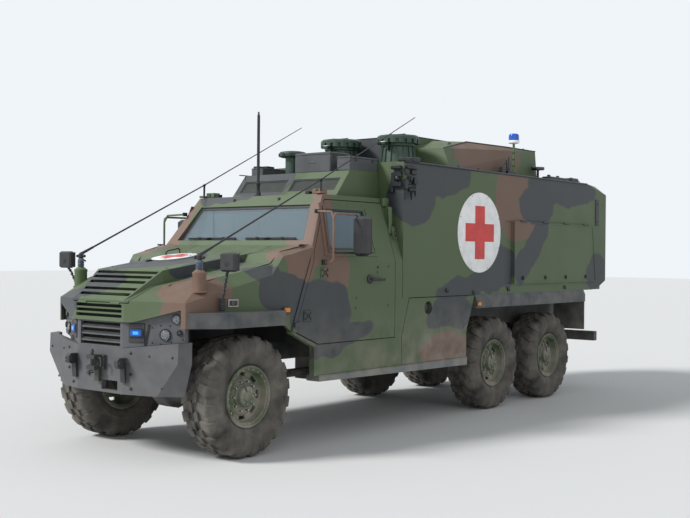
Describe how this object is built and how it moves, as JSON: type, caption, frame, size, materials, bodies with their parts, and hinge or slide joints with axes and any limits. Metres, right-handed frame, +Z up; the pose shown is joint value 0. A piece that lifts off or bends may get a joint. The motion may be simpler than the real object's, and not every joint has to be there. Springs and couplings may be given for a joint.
{
  "type": "military ambulance truck",
  "caption": "Protected military ambulance truck on all-wheel drive axles with faceted bonnet, crew cab and tall load body.",
  "frame": {"origin": "on the ground under the middle of the vehicle", "axes": "+X forward along the length, +Y to the vehicle's left, +Z up"},
  "size_m": [8.04, 2.69, 3.3334],
  "materials": {
    "tyre": "dusty rubber",
    "rim": "matt green paint with dust",
    "running_gear": "matt black paint with dust",
    "engine": "plain casting",
    "body": "matt green, brown and black camouflage",
    "panel_grey": "matt dark grey",
    "glass": "thick armoured glass",
    "black_trim": "textured black plastic",
    "lamp": "clear and tinted lenses",
    "interior": "dark seats and dashboard"
  },
  "bodies": {
    "hull": {"axles": "running_gear", "box_roof": "body", "box_sides": "body", "box_tub": "body", "bumper": "panel_grey", "cab_interior": "interior", "cab_sides": "body", "cab_top": "body", "cab_tub": "body", "chassis_frame": "running_gear", "engine": "engine", "flares": "panel_grey", "front_panel": "panel_grey", "lamps": "lamp", "mirrors_aerials": "black_trim", "nose_shell": "body", "roof_box": "body", "roof_gear": "body", "skirts": "body", "windscreen": "glass"},
    "steer_left": {"knuckle_left": "running_gear"},
    "steer_right": {"knuckle_right": "running_gear"},
    "cab_door_left": {"door_left": "body", "door_glass_left": "glass", "door_fittings_left": "black_trim"},
    "cab_door_right": {"door_right": "body", "door_glass_right": "glass", "door_fittings_right": "black_trim"},
    "load_door_left": {"rear_door_left": "body"},
    "load_door_right": {"rear_door_right": "body"},
    "bonnet_lid": {"bonnet": "body"},
    "hatch_left": {"hatch_lid_left": "body"},
    "hatch_right": {"hatch_lid_right": "body"},
    "wheel_front_left": {"tyre_front_left": "tyre", "rim_front_left": "rim"},
    "wheel_front_right": {"tyre_front_right": "tyre", "rim_front_right": "rim"},
    "wheel_middle_left": {"tyre_middle_left": "tyre", "rim_middle_left": "rim"},
    "wheel_middle_right": {"tyre_middle_right": "tyre", "rim_middle_right": "rim"},
    "wheel_rear_left": {"tyre_rear_left": "tyre", "rim_rear_left": "rim"},
    "wheel_rear_right": {"tyre_rear_right": "tyre", "rim_rear_right": "rim"}
  },
  "joints": [
    {"name": "steering_left", "type": "hinge", "parent": "hull", "child": "steer_left", "pos_m": [3.06, 0.76, 0.545], "axis": [0, 0, 1], "range_deg": [-30, 30]},
    {"name": "steering_right", "type": "hinge", "parent": "hull", "child": "steer_right", "pos_m": [3.06, -0.76, 0.545], "axis": [0, 0, 1], "range_deg": [-30, 30]},
    {"name": "wheel_front_left_spin", "type": "hinge", "parent": "steer_left", "child": "wheel_front_left", "pos_m": [3.06, 0.861, 0.545], "axis": [0, 1, 0], "continuous": true},
    {"name": "wheel_front_right_spin", "type": "hinge", "parent": "steer_right", "child": "wheel_front_right", "pos_m": [3.06, -0.861, 0.545], "axis": [0, 1, 0], "continuous": true},
    {"name": "wheel_middle_left_spin", "type": "hinge", "parent": "hull", "child": "wheel_middle_left", "pos_m": [-1.09, 0.861, 0.545], "axis": [0, 1, 0], "continuous": true},
    {"name": "wheel_middle_right_spin", "type": "hinge", "parent": "hull", "child": "wheel_middle_right", "pos_m": [-1.09, -0.861, 0.545], "axis": [0, 1, 0], "continuous": true},
    {"name": "wheel_rear_left_spin", "type": "hinge", "parent": "hull", "child": "wheel_rear_left", "pos_m": [-2.447, 0.861, 0.545], "axis": [0, 1, 0], "continuous": true},
    {"name": "wheel_rear_right_spin", "type": "hinge", "parent": "hull", "child": "wheel_rear_right", "pos_m": [-2.447, -0.861, 0.545], "axis": [0, 1, 0], "continuous": true},
    {"name": "cab_door_left_hinge", "type": "hinge", "parent": "hull", "child": "cab_door_left", "pos_m": [2.538, 1.092, 1.3], "axis": [0, 0, -1], "range_deg": [0, 65]},
    {"name": "load_door_left_hinge", "type": "hinge", "parent": "hull", "child": "load_door_left", "pos_m": [-3.95, 0.804, 2], "axis": [0, 0, -1], "range_deg": [0, 100]},
    {"name": "cab_door_right_hinge", "type": "hinge", "parent": "hull", "child": "cab_door_right", "pos_m": [2.538, -1.092, 1.3], "axis": [0, 0, 1], "range_deg": [0, 65]},
    {"name": "load_door_right_hinge", "type": "hinge", "parent": "hull", "child": "load_door_right", "pos_m": [-3.95, -0.804, 2], "axis": [0, 0, 1], "range_deg": [0, 100]},
    {"name": "bonnet_hinge", "type": "hinge", "parent": "hull", "child": "bonnet_lid", "pos_m": [3.932, 0, 1.3727], "axis": [0, 1, 0], "range_deg": [0, 55]},
    {"name": "hatch_left_hinge", "type": "hinge", "parent": "hull", "child": "hatch_left", "pos_m": [0.345, 0.42, 3.085], "axis": [0, 1, 0], "range_deg": [0, 90]},
    {"name": "hatch_right_hinge", "type": "hinge", "parent": "hull", "child": "hatch_right", "pos_m": [0.345, -0.42, 3.085], "axis": [0, 1, 0], "range_deg": [0, 90]}
  ],
  "couplings": [
    {"joint": "steering_right", "follows": "steering_left", "ratio": 1}
  ]
}
